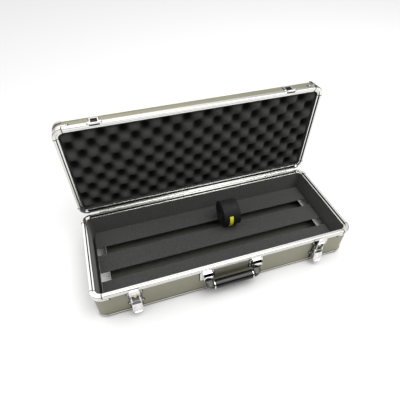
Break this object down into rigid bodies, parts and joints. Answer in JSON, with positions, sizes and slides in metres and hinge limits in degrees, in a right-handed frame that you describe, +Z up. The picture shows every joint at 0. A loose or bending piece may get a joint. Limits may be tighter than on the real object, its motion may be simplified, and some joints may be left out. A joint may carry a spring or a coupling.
{
  "type": "pedalboard",
  "caption": "Hard pedalboard case with a lift-out slotted deck, loop strips, hinged foam-lined lid, key latches and a drop handle.",
  "frame": {"origin": "middle of the open case's footprint, on the plane of its feet", "axes": "+X along the case to the right, +Y from the front with the handle to the hinge, +Z up"},
  "size_m": [0.6124, 0.2975, 0.328],
  "materials": {
    "panel": "champagne laminate with a brushed sheen over board",
    "rim": "satin extrusion",
    "casting": "cast corner",
    "edge": "thin rolled edge trim",
    "lining": "dark felt over foam",
    "foam": "egg-crate foam",
    "foot": "moulded foot",
    "screw": "cross-head screw",
    "hinge": "rolled piano hinge",
    "latch": "pressed latch metal",
    "pin": "pin stock",
    "lock": "black lock housing",
    "key": "key barrel",
    "bracket": "pressed bracket",
    "arm": "dark cast elbow",
    "ring": "collar ring",
    "grip": "glossy moulded grip",
    "rivet": "rivet head",
    "deck": "satin sheet",
    "loop": "loop tape",
    "tape": "woven hook tape",
    "core": "black wound board tube",
    "label": "yellow paper band"
  },
  "bodies": {
    "case_base": {"base_corner_posts": "panel", "base_edge_corners": "casting", "base_edge_strips": "edge", "base_feet": "foot", "base_floor_lining": "lining", "base_foot_screws": "screw", "base_front_panel": "panel", "base_outer_panel": "panel", "base_rear_panel": "panel", "base_rim_corners": "casting", "base_rim_front": "rim", "base_rim_rear": "rim", "base_rim_sides": "rim", "base_rivets": "rivet", "base_side_panels": "panel", "base_wall_lining": "lining", "handle_bracket_left": "bracket", "handle_bracket_right": "bracket", "handle_pins": "pin", "hinge_base_leaf": "hinge", "hinge_pin": "pin", "latch_lever_pins": "pin", "latch_plate_left": "latch", "latch_plate_right": "latch", "lock_housings": "lock"},
    "lid": {"hinge_lid_leaf": "hinge", "lid_corner_posts": "panel", "lid_edge_corners": "casting", "lid_edge_strips": "edge", "lid_egg_crate_foam": "foam", "lid_front_panel": "panel", "lid_keepers": "latch", "lid_outer_panel": "panel", "lid_rear_panel": "panel", "lid_rim_corners": "casting", "lid_rim_front": "rim", "lid_rim_rear": "rim", "lid_rim_sides": "rim", "lid_rivets": "rivet", "lid_side_panels": "panel", "lid_wall_lining": "lining"},
    "handle": {"handle_arm_left": "arm", "handle_arm_right": "arm", "handle_grip": "grip", "handle_rings": "ring"},
    "lever_left": {"latch_lever_left": "latch", "latch_claw_pin_left": "pin"},
    "claw_left": {"latch_claw_left": "latch"},
    "key_left": {"key_barrel_left": "key"},
    "lever_right": {"latch_lever_right": "latch", "latch_claw_pin_right": "pin"},
    "claw_right": {"latch_claw_right": "latch"},
    "key_right": {"key_barrel_right": "key"},
    "deck": {"pedal_deck": "deck", "loop_strip_front": "loop", "loop_strip_middle": "loop", "loop_strip_rear": "loop"},
    "tape": {"tape_roll": "tape", "tape_core": "core", "tape_label": "label"}
  },
  "joints": [
    {"name": "lid_hinge", "type": "hinge", "parent": "case_base", "child": "lid", "pos_m": [0, 0.11537, 0.08375], "axis": [-1, 0, 0], "range_deg": [-90, 0], "deforming": ["lid_egg_crate_foam"]},
    {"name": "handle_hinge", "type": "hinge", "parent": "case_base", "child": "handle", "pos_m": [0, -0.12983, 0.0525], "axis": [-1, 0, 0], "range_deg": [0, 90]},
    {"name": "lever_left_hinge", "type": "hinge", "parent": "case_base", "child": "lever_left", "pos_m": [-0.219, -0.12913, 0.0495], "axis": [-1, 0, 0], "range_deg": [-12, 90]},
    {"name": "claw_left_hinge", "type": "hinge", "parent": "lever_left", "child": "claw_left", "pos_m": [-0.219, -0.13037, 0.04363], "axis": [-1, 0, 0], "range_deg": [-110, 16]},
    {"name": "key_left_turn", "type": "hinge", "parent": "case_base", "child": "key_left", "pos_m": [-0.219, -0.12463, 0.0605], "axis": [0, 1, 0], "range_deg": [0, 90]},
    {"name": "lever_right_hinge", "type": "hinge", "parent": "case_base", "child": "lever_right", "pos_m": [0.219, -0.12913, 0.0495], "axis": [-1, 0, 0], "range_deg": [-12, 90]},
    {"name": "claw_right_hinge", "type": "hinge", "parent": "lever_right", "child": "claw_right", "pos_m": [0.219, -0.13037, 0.04363], "axis": [-1, 0, 0], "range_deg": [-110, 16]},
    {"name": "key_right_turn", "type": "hinge", "parent": "case_base", "child": "key_right", "pos_m": [0.219, -0.12463, 0.0605], "axis": [0, 1, 0], "range_deg": [0, 90]},
    {"name": "deck_lift", "type": "slide", "parent": "case_base", "child": "deck", "axis": [0, 0, 1], "range_m": [0, 0.09]},
    {"name": "tape_lift", "type": "slide", "parent": "deck", "child": "tape", "axis": [0, 0, 1], "range_m": [0, 0.05]}
  ],
  "couplings": [
    {"joint": "claw_left_hinge", "follows": "lever_left_hinge", "ratio": -1.2},
    {"joint": "claw_right_hinge", "follows": "lever_right_hinge", "ratio": -1.2}
  ]
}
